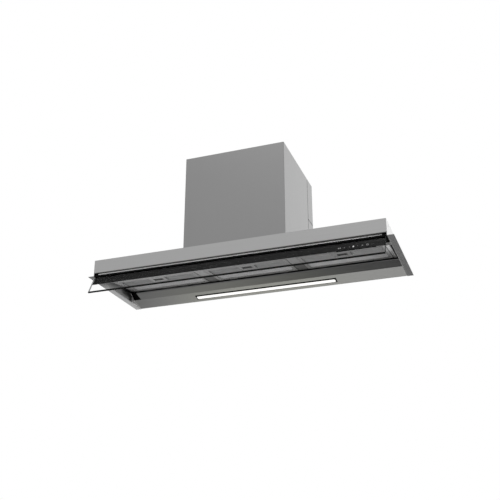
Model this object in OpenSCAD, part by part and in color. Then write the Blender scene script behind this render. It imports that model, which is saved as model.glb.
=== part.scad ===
// Built-in range hood for a wall cabinet: a shallow steel canopy with side flanges, a motor
// housing, a folding glass visor, three grease filters and one long light.
// Millimetres. X runs to the right, Y to the wall, Z up. The origin is the centre of the four
// fixing holes, on the top face of the canopy.

/* [Canopy] */
// Width of the canopy between the outer faces of its end walls
body_w = 862; // [560:1:1060]
// Depth of the canopy, front to wall
body_d = 307; // [285:1:380]
// Height of the canopy, flange underside to top face
body_h = 49.5; // [46:0.5:70]
// Width of the flange on each side
flange_w = 18; // [10:0.5:30]
// Height of the front fascia
fascia_h = 40; // [36:0.5:45]
// Thickness of the steel sheet
sheet_t = 1; // [0.7:0.05:1.2]
// Inside radius of the sheet's bends
bend_r = 0.8; // [0.4:0.1:1.5]

/* [Fixing] */
// Distance of the top fixing holes along the width
top_hole_x = 740; // [420:1:800]
// Distance of the top fixing holes along the depth
top_hole_y = 220; // [180:1:260]
// Radius of the top fixing holes
top_hole_r = 2.75; // [2:0.05:4]
// Distance of the two screw holes in each end wall
side_hole_y = 190; // [120:1:240]
// Radius of the screw holes in the end walls
side_hole_r = 2.25; // [1.8:0.05:3]

/* [Motor housing] */
// Width of the motor housing
housing_w = 305; // [290:1:400]
// Height of the motor housing above the canopy
housing_h = 292.5; // [285:0.5:380]
// Distance of the housing's front wall behind the fascia
housing_setback = 10; // [4:0.5:20]
// Width of the rear cover's side walls
rear_cover_d = 56; // [30:1:90]
// Height of the joint between the rear cover and the service cover
service_h = 153.5; // [90:0.5:200]

/* [Outlet] */
// Outer radius of the duct collar
collar_r = 74.5; // [60:0.25:75]
// Height of the duct collar
collar_h = 42; // [36:1:55]
// Wall of the duct collar
collar_t = 2.5; // [2:0.1:4]

/* [Blower] */
// Outer radius of the impeller
impeller_r = 72; // [60:1:74]
// Width of the impeller
impeller_w = 96; // [80:1:110]
// Number of blades
blade_count = 36; // [24:1:44]
// Clearance between the impeller and the scroll's tongue
tongue_gap = 8; // [6:0.5:10]
// Growth of the scroll's radius from the tongue to the outlet
scroll_growth = 38; // [30:1:40]

/* [Visor] */
// Tilt of the open visor forward of vertical
visor_tilt = 27; // [20:0.5:35]
// Distance of the visor's lower edge from its hinge
visor_l = 74.5; // [60:0.5:80]
// Distance from the hinge to the black band's lower edge
band_end = 39.5; // [36:0.5:48]
// Thickness of the visor's glass
glass_t = 4; // [3:0.5:5]
// Radius of the visor's rail
rail_r = 3.4; // [3:0.1:3.6]

/* [Filters] */
// Number of mesh openings along a filter
mesh_cols = 14; // [8:1:16]
// Number of mesh openings across a filter
mesh_rows = 7; // [4:1:8]
// Thickness of a filter
filter_t = 9; // [7:0.5:12]
// Width of the bars between the filters
divider_w = 31; // [20:0.5:40]
// Gap between the end filters and the end walls
end_gap = 23; // [18:0.5:30]
// Travel of a filter's latch
latch_travel = 6; // [4:0.5:7]

/* [Light] */
// Length of the light's slot
light_l = 450; // [300:1:500]
// Width of the light's slot
light_w = 19.5; // [14:0.5:26]
// Dark gap around the light's bezel
light_gap = 1.8; // [0.4:0.1:2.5]
// Height that the bezel and the diffuser stand proud of the panel
light_proud = 1.6; // [0.5:0.1:3]

/* [Hidden] */

// Colours, as the finishes look
steel = [0.63, 0.63, 0.63];
dark_steel = [0.42, 0.42, 0.42];
zinc = [0.70, 0.71, 0.72];
black = [0.06, 0.06, 0.06];
aluminium = [0.76, 0.76, 0.77];
opal = [0.98, 0.98, 0.95];

// Fits shared by many pieces
over = 2;            // overrun of a cut past a face
fit = 0.3;           // gap between two pieces that don't press on each other
run_fit = 0.05;      // radial clearance of a pin in its hole
bend_steps = 3;      // straight pieces in a bend
round_fn = 48;       // sides that a round is drawn with

// Places measured from the fascia's front plane and from the flange's underside
function fy(d) = d - body_d / 2;
function uz(h) = h - body_h;
wall_x = body_w / 2 - sheet_t;      // inner face of an end wall
back_y = body_d - sheet_t;          // inner face of the back panel

// Small features of the canopy
lip = 14;             // width of a turned edge
fascia_lip = 5;       // width of the fascia's lower turned edge
rib_l = 150;          // length of a stiffening bead
rib_w = 10;           // width of a stiffening bead
rib_h = 2;            // depth of a stiffening bead under the plate
rib_round = 4;        // radius of a stiffening rib's corners
rib_pitch = 60;       // distance between the beads
rib_start = 30;       // distance of the beads from the motor housing
rivet_r = 2.4;        // radius of a rivet's head
rivet_h = 0.8;        // height of a rivet's head
rivet_edge = 33.5;    // distance of the end rivets from the front and the rear
rivet_pitch = body_d / 2 - rivet_edge;
rivet_z = 8;          // depth of the rivets below the top face
side_hole_z = 25;     // depth of the end wall's screw holes below the top face

// Visor hinge and pocket
hinge_y = 6;          // hinge axis behind the fascia's front plane
hinge_z = 5.4;        // hinge axis above the flange's underside
pin_r = 2;            // radius of a hinge pin
rail_end = 4;         // lower edge of the rail's skirt, from the axis
rail_front = 3.1;     // front face of the rail's skirt, from the axis plane
rail_back = 3;        // back face of the rail's skirt, from the axis plane
carrier_end = 11.6;   // lower edge of the glass carrier, from the axis
carrier_front = 3.2;  // front face of the carrier, from the axis plane
carrier_back = 3.4;   // back face of the carrier, from the axis plane
glass_top = 4.2;      // upper edge of the glass, from the axis
slot_fit = 0.05;      // gap between the glass and its slot
cap_w = 11;           // width of an end cap
cap_r = 3.7;          // radius of an end cap round the axis
bracket_t = 1.5;      // thickness of a hinge bracket
bracket_reach = 18;   // reach of a hinge bracket's leg behind the hinge
bracket_gap = 0.3;    // gap between an end cap and its bracket
band_t = 0.6;         // thickness of the black layer behind the glass
trim_h = 3;           // height of the lower edge trim
module_w = 106;       // width of the touch module
module_end = 26;      // distance of the touch module from the glass's right edge
module_t = 3.9;       // depth of the touch module
module_margin = 2;    // distance of the touch module inside the band
pan_z = 13.2;         // underside of the front pan above the flange's underside
pan_t = 1;            // thickness of the front pan
pan_front = 9;        // front wall of the pan behind the fascia's front plane
pocket_d = 78;        // depth of the visor's pocket
cap_x = wall_x - bracket_t - bracket_gap;       // outer end of an end cap
rail_x = cap_x - cap_w;                         // end of the visor's rail
glass_x = cap_x - fit;                          // edge of the glass

// Light panel: rises from the rear edge, then folds up to the filters
panel_d = 53;         // depth of the light panel
panel_rise = 11;      // rise of the light panel's front fold
strip_d = 27.5;       // depth of the sloped strip
strip_rise = 17;      // rise of the sloped strip
panel_lip = 8;        // width of the lip that carries the filters
cheek_d = 68;         // depth of the light panel's cheeks at the end walls
panel_back = back_y - fit;                      // rear face of the light panel
fold_y = panel_back - panel_d;                  // fold between panel and strip
strip_y = fold_y - strip_d;                     // front edge of the strip
strip_z = panel_rise + strip_rise;
panel_tilt = atan(panel_rise / panel_d);
light_back = 16;      // distance of the light's slot from the rear edge
light_corner = 7;     // corner radius of the slot
bezel_t = 0.8;        // wall of the light's bezel
bezel_rim = 1.5;      // width of the bezel's rim over the slot's edge
bezel_z = sheet_t + fit + bezel_t;              // upper face of the bezel's rim
diffuser_t = 2;       // thickness of the diffuser's plate
channel_h = 12;       // height of the light's channel
channel_t = 1.2;      // wall of the light's channel
channel_rim = 4;      // width of the channel's rim
board_t = 1.2;        // thickness of the LED board
led_count = 30;       // LEDs on the board
led_size = 3;         // side of an LED
led_h = 0.8;          // height of an LED
driver_l = 90;        // length of the LED driver
driver_w = 32;        // width of the LED driver
driver_round = 4;     // radius of the LED driver's corners
driver_h = 18;        // height of the LED driver
driver_x = 290;       // distance of the LED driver from the centre
driver_back = 18;     // distance of the LED driver from the back panel

// Filters
rail_d = 17;          // depth of the filters' front rail
filter_gap = 0.6;     // gap at a filter's front edge and sides
rear_gap = 2.2;       // open joint behind the filters
filter_hinge_y = strip_y - rear_gap;            // rear lower edge, the filter's hinge
filter_hinge_z = strip_z + fit;
filter_front_y = pocket_d + rail_d + filter_gap;
filter_front_z = pan_z;
filter_tilt = atan((filter_hinge_z - filter_front_z) / (filter_hinge_y - filter_front_y));
filter_d = (filter_hinge_y - filter_front_y) / cos(filter_tilt);
filter_zone = body_w - 2 * end_gap;
filter_count = 3;
filter_w = (filter_zone - (filter_count - 1) * divider_w) / filter_count;
filter_pitch = filter_w + divider_w;
filter_r = 4;         // corner radius of a filter
frame_wall = 2;       // wall of a filter's frame
frame_rim = 10;       // width of the frame's lower rim
frame_base = 1.5;     // thickness of the frame's lower rim
mesh_t = 1.2;         // thickness of the mesh
mesh_edge_share = 0.5;   // edge beside the mesh openings, as a share of a bar's pitch
mesh_open_share = 0.78;  // width of a mesh opening as a share of its pitch
mesh_fit = 0.2;       // gap round the mesh
latch_w = 30;         // width of the latch's recess
latch_back = 19;      // distance of the recess from the filter's front edge
latch_margin = 10;    // rim round the latch's recess
latch_h = 7.5;        // height of the latch's recess
handle_d = 10.5;      // depth of the latch's handle
latch_slack = 1.5;    // play behind the handle when it is pulled all the way
latch_d = handle_d + latch_travel + latch_slack;
handle_t = 1.6;       // thickness of the latch's handle
tongue_w = 12;        // width of the latch's tongue
tongue_t = 1.6;       // thickness of the latch's tongue
tongue_out = latch_travel;
tongue_z = (sheet_t + fit) / cos(filter_tilt) + (tongue_out + filter_gap) * tan(filter_tilt);
tab_w = 24;           // width of a filter's rear tab
tab_t = 2;            // thickness of a rear tab
tab_out = 7;          // reach of a rear tab
tab_place_share = 0.32;  // place of the tabs, as a share of the filter's width
deflector_w = 11.2;   // width of an end deflector beside the filter
deflector_rise = 15;  // height of an end deflector's outer edge

// Motor housing
housing_front = fy(housing_setback);
housing_back = fy(body_d - sheet_t);
housing_mid = (housing_front + housing_back) / 2;
housing_x = housing_w / 2;
seam_y = housing_back - rear_cover_d;
seam_gap = 1.4;       // open joint between two housing covers
joggle = 11;          // length of the overlap behind a joint
foot_w = 14;          // width of the housing's turned feet
lid_lip = 14;         // height of the housing lid's turned edge
intake_margin = 22;   // width of the top plate left under the housing's edges
screw_r = 1.9;        // radius of a screw's shank
screw_head_r = 3.6;   // radius of a screw's head
screw_head_h = 1.8;   // height of a screw's head
screw_l = 7;          // length of a screw
drive_w = 0.9;        // width of a screw's cross recess
drive_depth = 0.9;    // depth of a screw's cross recess
housing_screw_y = 90; // distance between the housing's screws along the depth

// Blower, in its own section across the axle
tongue_angle = 75;    // angle of the scroll's tongue above the rear
scroll_steps = 44;    // straight pieces in the scroll
scroll_r0 = impeller_r + tongue_gap;
scroll_r1 = scroll_r0 + scroll_growth;
function scroll_r(a) = scroll_r0 + scroll_growth * (a - tongue_angle) / (360 - tongue_angle);
scroll_front_gap = 8; // gap between the scroll and the housing's front wall
cheek_gap = 6;        // gap between the impeller and each cheek
scroll_w = impeller_w + 2 * cheek_gap;
axle_y = housing_front + sheet_t + scroll_front_gap + scroll_r(180) + sheet_t;
axle_z = 140;         // height of the axle above the canopy
throat_y0 = axle_y + scroll_r0 * cos(tongue_angle);
throat_y1 = axle_y + scroll_r1;
throat_mid = (throat_y0 + throat_y1) / 2;
scroll_top = housing_h - sheet_t;
inlet_margin = 12;    // rim between an inlet and the blades' tips
inlet_r = impeller_r - inlet_margin;
outlet_lip = 10;      // width of the turned edges at the scroll's outlet
inlet_lip = 6;        // reach of an inlet's rounded lip
blade_d = 14;         // depth of a blade from root to tip
blade_in = impeller_r - blade_d;
blade_t = 1;          // thickness of a blade
blade_turn = 34;      // turn of a blade's curve from root to tip
ring_w = 4;           // width of an impeller's end ring
ring_t = 2;           // thickness of an impeller's end ring
disc_t = 2;           // thickness of the impeller's centre disc
hub_r = 14;           // radius of the impeller's hub
hub_l = 20;           // length of the impeller's hub
disc_x = 10;          // place of the centre disc along the axle
shaft_r = 4;          // radius of the motor's shaft
motor_r = 42;         // radius of the motor
motor_l = 62;         // length of the motor
motor_gap = 4;        // gap between the motor and the impeller's hub
bell_r = 24;          // radius of the motor's end bell
bell_l = 8;           // length of the motor's end bell
fin_count = 18;       // cooling fins round the motor
fin_w = 2;            // width of a cooling fin
fin_h = 2;            // height of a cooling fin
arm_w = 12;           // width of a motor bracket's arm
arm_t = 2.5;          // thickness of the motor bracket
bush_r = 7;           // radius of a rubber bush
bush_hole_r = 2.6;    // radius of the hole in a rubber bush
bush_t = 6;           // thickness of a rubber bush
bush_margin = 14;     // distance of the bushes from the blower's inlet
bush_ring = inlet_r + bush_margin;
bush_angles = [60, 180, 300];  // places of the bushes round the axle
capacitor_r = 15;     // radius of the capacitor
capacitor_l = 58;     // length of the capacitor
capacitor_z = 70;     // height of the capacitor above the canopy
box_w = 38;           // depth of the control box along the width
box_l = 120;          // length of the control box
box_gap = 21;         // distance of the control box from the rear cover
box_mid = seam_y - joggle - box_gap - box_l / 2;
box_h = 70;           // height of the control box
box_t = 2;            // wall of the control box
box_z = 205;          // height of the control box above the canopy
block_w = 12;         // width of the terminal block
block_l = 60;         // length of the terminal block
block_h = 16;         // height of the terminal block
block_ways = 5;       // ways of the terminal block
block_hole_r = 1.8;   // radius of a terminal's hole

// Mains gland and outlet
gland_x = 118;        // distance of the gland from the centre
gland_y = 112;        // distance of the gland behind the origin
gland_r = 8;          // radius of the gland's thread
gland_hex_r = 12;     // radius of the gland's nut over its corners
gland_hex_h = 5;      // height of the gland's nut
gland_h = 20;         // height of the gland above the housing
gland_bore_r = 4;     // radius of the gland's bore
flange_pad = 7;       // reach of the collar's flange past its tube
collar_base = 2;      // thickness of the collar's flange
flap_z = 22;          // height of the flaps' pin above the housing
flap_t = 1.5;         // thickness of a flap
flap_gap = 1;         // gap between a flap and the collar
flap_pin_r = 2;       // radius of the flaps' pin
sleeve_r = 3.6;       // radius of a flap's sleeve
sleeve_l = 25;        // length of a flap's sleeve
sleeve_gap = 1;       // gap between two sleeves
flap_start = 5.5;     // start of a flap's plate from the pin's axis
ledge_w = 3;          // width of the ledge that a closed flap rests on
ledge_t = 2;          // thickness of that ledge

// Outline helpers
function unit2(v) = v / norm(v);
function cross2(a, b) = a.x * b.y - a.y * b.x;
function turned(v, a) = [v.x * cos(a) - v.y * sin(a), v.x * sin(a) + v.y * cos(a)];
function left_of(a, b) = turned(unit2(b - a), 90);
function reversed(p) = [for (i = [len(p) - 1 : -1 : 0]) p[i]];
function joined(lists) = [for (l = lists) for (q = l) q];

// The arc of radius r that replaces corner b between a and c
function bend_arc(a, b, c, r) =
    let (u = unit2(a - b), w = unit2(c - b), corner = acos(u * w),
         centre = b + unit2(u + w) * r / sin(corner / 2),
         start = b + u * r / tan(corner / 2) - centre,
         sweep = sign(cross2(b - a, c - b)) * (180 - corner))
    [for (i = [0 : bend_steps]) centre + turned(start, sweep * i / bend_steps)];

// A path moved to its left by s, with mitred corners
function shifted(p, s) = [for (i = [0 : len(p) - 1])
    let (n2 = i < len(p) - 1 ? left_of(p[i], p[i + 1]) : left_of(p[i - 1], p[i]),
         n1 = i > 0 ? left_of(p[i - 1], p[i]) : n2)
    p[i] + s * (n1 + n2) / (1 + n1 * n2)];

// A path with its corners bent: r_left where it turns left, r_right where it turns right
function bent(q, r_left, r_right) = joined([for (i = [0 : len(q) - 1])
    i == 0 || i == len(q) - 1 ? [q[i]]
    : bend_arc(q[i - 1], q[i], q[i + 1],
               cross2(q[i] - q[i - 1], q[i + 1] - q[i]) > 0 ? r_left : r_right)]);

// The section of a bent sheet: p is one face, and the thickness t lies to its left, or to its
// right where t is negative
function sheet_section(p, t = sheet_t) =
    let (on_left = bend_r + max(t, 0), on_right = bend_r - min(t, 0))
    concat(bent(p, on_left, on_right), reversed(bent(shifted(p, t), on_right, on_left)));

// A rectangle with round corners, centred
module round_rect(w, h, r) {
    square([w - 2 * r, h], center = true);
    square([w, h - 2 * r], center = true);
    for (x = [-1, 1], y = [-1, 1])
        translate([x * (w / 2 - r), y * (h / 2 - r)]) circle(r, $fn = round_fn);
}

// A section in Y and Z, drawn along X from x0 to x1
module along_x(x0, x1) {
    translate([x0, 0, 0]) rotate([90, 0, 90]) linear_extrude(x1 - x0) children();
}

// A section in X and Z, drawn along Y from y0 to y1
module along_y(y0, y1) {
    translate([0, y1, 0]) rotate([90, 0, 0]) linear_extrude(y1 - y0) children();
}

// A block between two corners
module block(low, high) {
    translate(low) cube(high - low);
}

// A pan-head screw with a cross recess, head up, its shoulder at the origin
module screw(shank) {
    difference() {
        union() {
            cylinder(h = screw_head_h, r = screw_head_r, $fn = round_fn);
            translate([0, 0, -shank]) cylinder(h = shank, r = screw_r, $fn = round_fn);
        }
        for (a = [0, 90])
            rotate([0, 0, a]) translate([0, 0, screw_head_h])
                cube([screw_head_r, drive_w, 2 * drive_depth], center = true);
    }
}

// Canopy

rib_x = housing_x + rib_start + rib_l / 2;
module rib_places() {
    for (x = [-1, 1], y = [-1, 0, 1])
        translate([x * rib_x, y * rib_pitch]) children();
}

module top_plate() color(zinc) {
    difference() {
        union() {
            block([-wall_x, fy(sheet_t), -sheet_t], [wall_x, fy(back_y), 0]);
            for (s = [0, 1]) mirror([s, 0, 0])
                block([wall_x - sheet_t, fy(sheet_t), -lip], [wall_x, fy(back_y - lip), 0]);
            block([-wall_x, fy(sheet_t), -lip], [wall_x, fy(2 * sheet_t), 0]);
            rib_places() translate([0, 0, -sheet_t - rib_h])
                linear_extrude(rib_h) round_rect(rib_l, rib_w, rib_round);
        }
        translate([0, 0, -sheet_t / 2]) rib_places()
            linear_extrude(over) round_rect(rib_l - 2 * sheet_t, rib_w - 2 * sheet_t, rib_round - sheet_t);
        translate([0, housing_mid, -over]) linear_extrude(2 * over)
            round_rect(housing_w - 2 * intake_margin,
                       housing_back - housing_front - 2 * intake_margin, intake_margin / 2);
        for (x = [-1, 1], y = [-1, 1])
            translate([x * top_hole_x / 2, y * top_hole_y / 2, -over])
                cylinder(h = 2 * over, r = top_hole_r, $fn = round_fn);
        housing_screw_places() translate([0, 0, -over])
            cylinder(h = 2 * over, r = screw_r + run_fit, $fn = round_fn);
    }
}

// The wall and flange of one end, with the flange outwards on the right
module end_panel() {
    difference() {
        along_y(fy(0), fy(body_d))
            polygon(sheet_section([[body_w / 2 + flange_w, uz(0)], [wall_x, uz(0)], [wall_x, 0]],
                                  -sheet_t));
        block([wall_x - over, fy(-over), uz(body_h - fascia_h)], [body_w, fy(sheet_t), over]);
        for (y = [-1, 1])
            translate([wall_x - over, y * side_hole_y / 2, -side_hole_z]) rotate([0, 90, 0])
                cylinder(h = sheet_t + 2 * over, r = side_hole_r, $fn = round_fn);
        rivet_places() translate([wall_x - over, 0, 0]) rotate([0, 90, 0])
            cylinder(h = sheet_t + 2 * over, r = rivet_r / 2, $fn = round_fn);
    }
}

module left_end_panel() color(steel) mirror([1, 0, 0]) end_panel();
module right_end_panel() color(steel) end_panel();

module rivet_places() {
    for (y = [-1, 0, 1]) translate([0, y * rivet_pitch, -rivet_z]) children();
}

module panel_rivets() color(zinc) {
    for (s = [0, 1]) mirror([s, 0, 0]) rivet_places() {
        translate([body_w / 2, 0, 0]) rotate([0, 90, 0])
            cylinder(h = rivet_h, r1 = rivet_r, r2 = rivet_r - rivet_h, $fn = round_fn);
        translate([wall_x, 0, 0]) rotate([0, 90, 0])
            cylinder(h = sheet_t, r = rivet_r / 2, $fn = round_fn);
    }
}

module back_panel() color(zinc) {
    along_x(-wall_x, wall_x)
        polygon(sheet_section([[fy(body_d), uz(sheet_t)], [fy(body_d), -sheet_t],
                               [fy(body_d - lip), -sheet_t]]));
}

module front_fascia() color(steel) {
    difference() {
        along_x(-body_w / 2, body_w / 2)
            polygon(sheet_section([[fy(fascia_lip), -fascia_h], [fy(0), -fascia_h],
                                   [fy(0), 0]], -sheet_t));
        for (s = [0, 1]) mirror([s, 0, 0])
            block([wall_x - fit, fy(sheet_t), -fascia_h - over],
                  [body_w, fy(fascia_lip + over), over]);
    }
}

module front_pan() color(black) {
    along_x(-wall_x, wall_x)
        polygon(sheet_section([[fy(pocket_d - fit), uz(pan_z)], [fy(pan_front), uz(pan_z)],
                               [fy(pan_front), uz(pan_z + lip)],
                               [fy(sheet_t), uz(pan_z + lip)]], -pan_t));
}

module filter_front_rail() color(steel) {
    along_x(-wall_x, wall_x)
        polygon(sheet_section([[fy(pocket_d), uz(pan_z + lip)], [fy(pocket_d), uz(pan_z)],
                               [fy(pocket_d + rail_d), uz(pan_z)]]));
}

// Light panel, sloped strip and cheeks, folded from one sheet
module light_panel() color(steel) {
    panel = [[fy(panel_back), uz(lip)], [fy(panel_back), uz(0)], [fy(fold_y), uz(panel_rise)]];
    strip = [[fy(strip_y), uz(strip_z)], [fy(strip_y + panel_lip), uz(strip_z)]];
    cheek_rise = panel_rise + (cheek_d - panel_d) * strip_rise / strip_d;
    half_sheet = [0, sheet_t / 2];
    difference() {
        union() {
            along_x(fit - wall_x, wall_x - fit)
                polygon(sheet_section(concat(panel, strip), -sheet_t));
            // Cheeks, turned down beside the end walls
            for (s = [0, 1]) mirror([s, 0, 0])
                along_x(wall_x - fit - sheet_t, wall_x - fit)
                    polygon([panel[1], panel[1] + half_sheet, panel[2] + half_sheet,
                             [fy(panel_back - cheek_d), uz(cheek_rise)] + half_sheet,
                             [fy(panel_back - cheek_d), uz(0)]]);
        }
        light_place() translate([0, 0, -over]) linear_extrude(2 * over + sheet_t)
            light_outline(0);
    }
}

// Moves what is drawn flat to the middle of the light's slot, on the panel's underside
module light_place() {
    translate([0, fy(panel_back), uz(0)]) rotate([-panel_tilt, 0, 0])
        translate([0, -light_back - light_w / 2, 0]) children();
}

// Outline of the light's slot, moved outwards by grow
module light_outline(grow) {
    round_rect(light_l + 2 * grow, light_w + 2 * grow, light_corner + grow);
}

module light_bezel() color(black) {
    light_place() difference() {
        union() {
            translate([0, 0, -light_proud]) linear_extrude(light_proud + bezel_z)
                light_outline(-light_gap);
            translate([0, 0, sheet_t + fit]) linear_extrude(bezel_t) light_outline(bezel_rim);
        }
        translate([0, 0, -light_proud - over]) linear_extrude(light_proud + bezel_z + 2 * over)
            light_outline(-light_gap - bezel_t);
    }
}

module led_diffuser() color(opal) {
    light_place() {
        translate([0, 0, -light_proud]) linear_extrude(light_proud + bezel_z + run_fit + diffuser_t)
            light_outline(-light_gap - bezel_t - run_fit);
        translate([0, 0, bezel_z + run_fit]) linear_extrude(diffuser_t) light_outline(bezel_rim);
    }
}

module led_channel() color(aluminium) {
    light_place() translate([0, 0, sheet_t]) {
        difference() {
            linear_extrude(channel_h) light_outline(channel_rim);
            translate([0, 0, -over]) linear_extrude(channel_h + over - channel_t)
                light_outline(channel_rim - channel_t);
        }
    }
}

module led_board() color(opal) {
    board_z = sheet_t + channel_h - channel_t - board_t;
    light_place() {
        translate([0, 0, board_z + board_t / 2])
            cube([light_l - light_w, light_w / 2, board_t], center = true);
        for (i = [0 : led_count - 1])
            translate([(i + 0.5 - led_count / 2) * (light_l - 2 * light_w) / led_count, 0,
                       board_z - led_h / 2])
                cube([led_size, led_size, led_h], center = true);
    }
}

module led_driver() color(opal) {
    translate([-driver_x, fy(back_y - driver_back - driver_w / 2), -sheet_t - driver_h])
        linear_extrude(driver_h) round_rect(driver_l, driver_w, driver_round);
}

// Moves what is drawn flat to the filters' plane: origin at the rear lower edge, forward is -Y
module filter_plane(x) {
    translate([x, fy(filter_hinge_y), uz(filter_hinge_z)]) rotate([filter_tilt, 0, 0]) children();
}

module divider() {
    half = divider_w / 2 - filter_gap;
    filter_plane(filter_pitch / 2) along_y(fit - filter_gap - filter_d, rear_gap - fit)
        polygon(sheet_section([[half, filter_t], [half, 0], [-half, 0], [-half, filter_t]],
                              -sheet_t));
}

module left_divider() color(dark_steel) mirror([1, 0, 0]) divider();
module right_divider() color(dark_steel) divider();

module end_deflector() {
    inner = filter_zone / 2;
    filter_plane(0) along_y(fit - filter_gap - filter_d, rear_gap - fit)
        polygon(sheet_section([[inner, filter_t], [inner, 0], [inner + deflector_w, 0],
                               [inner + deflector_w, deflector_rise]]));
}

module left_end_deflector() color(steel) mirror([1, 0, 0]) end_deflector();
module right_end_deflector() color(steel) end_deflector();

// Bracket that holds one end of the visor: a leg on the end wall and a foot under the pan
module hinge_bracket() {
    leg_x = wall_x - bracket_t;
    foot_x = leg_x - cap_w - 2 * bracket_t;
    leg_y = hinge_y + bracket_reach;
    leg_z = hinge_z + pin_r + bracket_t / 2;
    difference() {
        union() {
            along_x(leg_x, wall_x)
                polygon([[fy(bracket_t), uz(bracket_t)], [fy(2 * hinge_y), uz(bracket_t)],
                         [fy(leg_y), uz(hinge_z + bracket_t)], [fy(leg_y), uz(pan_z)],
                         [fy(pan_front), uz(pan_z)], [fy(fascia_lip + fit), uz(leg_z)],
                         [fy(bracket_t), uz(leg_z)]]);
            block([foot_x, fy(pan_front + pan_t), uz(pan_z - bracket_t)],
                  [wall_x, fy(leg_y), uz(pan_z)]);
        }
        translate([leg_x - over, fy(hinge_y), uz(hinge_z)]) rotate([0, 90, 0])
            cylinder(h = bracket_t + 2 * over, r = pin_r + run_fit, $fn = round_fn);
    }
}

module left_hinge_bracket() color(black) mirror([1, 0, 0]) hinge_bracket();
module right_hinge_bracket() color(black) hinge_bracket();

// Motor housing

module housing_screw_places() {
    for (s = [-1, 1], y = [-1, 1])
        translate([s * (housing_x - sheet_t - foot_w / 2),
                   housing_mid + y * housing_screw_y / 2]) children();
}

module housing_front_wrap() color(steel) {
    plan = [[-housing_x, seam_y], [-housing_x, housing_front], [housing_x, housing_front],
            [housing_x, seam_y]];
    difference() {
        union() {
            linear_extrude(housing_h) polygon(sheet_section(plan));
            linear_extrude(sheet_t) difference() {
                polygon(bent(plan, bend_r + sheet_t, bend_r));
                translate([0, (housing_front + seam_y) / 2 + foot_w])
                    square([housing_w - 2 * foot_w, seam_y - housing_front], center = true);
                translate([-housing_w, seam_y - joggle - fit]) square([2 * housing_w, 2 * joggle]);
            }
        }
        housing_screw_places() translate([0, 0, -over])
            cylinder(h = 2 * over + sheet_t, r = screw_r + run_fit, $fn = round_fn);
    }
}

// The rear wall with its two sides: each side steps in behind the front wrap
module rear_wall(z0, z1) {
    step = sheet_t + fit;
    path = [[-housing_x + step, seam_y - joggle], [-housing_x + step, seam_y + seam_gap],
            [-housing_x, seam_y + seam_gap + step], [-housing_x, housing_back],
            [housing_x, housing_back], [housing_x, seam_y + seam_gap + step],
            [housing_x - step, seam_y + seam_gap], [housing_x - step, seam_y - joggle]];
    translate([0, 0, z0]) linear_extrude(z1 - z0) polygon(sheet_section(path, -sheet_t));
}

module housing_rear_cover() color(steel) {
    rear_wall(service_h + seam_gap, housing_h);
    // Turned edge that the service cover fits under
    block([-housing_x + 2 * joggle, housing_back - 2 * sheet_t - fit, service_h - joggle],
          [housing_x - 2 * joggle, housing_back - sheet_t - fit, service_h + seam_gap + joggle]);
    block([-housing_x + 2 * joggle, housing_back - 2 * sheet_t, service_h + seam_gap],
          [housing_x - 2 * joggle, housing_back - sheet_t / 2, service_h + seam_gap + joggle]);
}

module housing_service_cover() color(steel) rear_wall(0, service_h);

lid_x = housing_x - 2 * sheet_t - 2 * fit;
lid_y0 = housing_front + sheet_t + fit;
lid_y1 = housing_back - sheet_t - fit;
module housing_top_plate() color(zinc) {
    difference() {
        union() {
            block([-lid_x, lid_y0, housing_h - sheet_t], [lid_x, lid_y1, housing_h]);
            difference() {
                block([-lid_x, lid_y0, housing_h - lid_lip], [lid_x, lid_y1, housing_h]);
                block([sheet_t - lid_x, lid_y0 + sheet_t, housing_h - lid_lip - over],
                      [lid_x - sheet_t, lid_y1 - sheet_t, housing_h + over]);
            }
        }
        translate([0, throat_mid, housing_h - over])
            cylinder(h = 2 * over, r = collar_r - collar_t, $fn = 2 * round_fn);
        translate([-gland_x, gland_y, housing_h - over])
            cylinder(h = 2 * over, r = gland_r + run_fit, $fn = round_fn);
        collar_screw_places() translate([0, 0, -over])
            cylinder(h = 2 * over, r = screw_r + run_fit, $fn = round_fn);
    }
}

collar_screw = collar_r + flange_pad - 2 * screw_head_r;
module collar_screw_places() {
    for (x = [-1, 1], y = [-1, 1])
        translate([x * collar_screw, throat_mid + y * collar_screw, housing_h]) children();
}

module housing_screws() color(zinc) {
    housing_screw_places() translate([0, 0, sheet_t]) screw(screw_l);
    collar_screw_places() translate([0, 0, collar_base]) screw(screw_l);
}

// Blower

// Points of the scroll's inner face, from the tongue round to the outlet's rear wall
function scroll_points(grow) = [for (i = [0 : scroll_steps])
    let (a = tongue_angle + (360 - tongue_angle) * i / scroll_steps, r = scroll_r(a) + grow)
    [axle_y + r * cos(a), axle_z + r * sin(a)]];

module scroll_wrap() color(zinc) {
    inside = concat([[throat_y0, scroll_top]], scroll_points(0), [[throat_y1, scroll_top]]);
    outside = concat([[throat_y0 - sheet_t, scroll_top]],
                     [for (i = [0 : scroll_steps])
                         let (a = tongue_angle + (360 - tongue_angle) * i / scroll_steps,
                              r = scroll_r(a) + sheet_t,
                              y = axle_y + r * cos(a))
                         [i == 0 ? throat_y0 - sheet_t : y, axle_z + r * sin(a)]],
                     [[throat_y1 + sheet_t, scroll_top]]);
    along_x(-scroll_w / 2, scroll_w / 2) polygon(concat(inside, reversed(outside)));
    // Turned edges at the outlet, against the housing's lid
    for (side = [[throat_y0 - sheet_t - outlet_lip, throat_y0 - sheet_t / 2],
                 [throat_y1 + sheet_t / 2, throat_y1 + sheet_t + outlet_lip]])
        block([-scroll_w / 2, side[0], scroll_top - sheet_t], [scroll_w / 2, side[1], scroll_top]);
}

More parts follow.
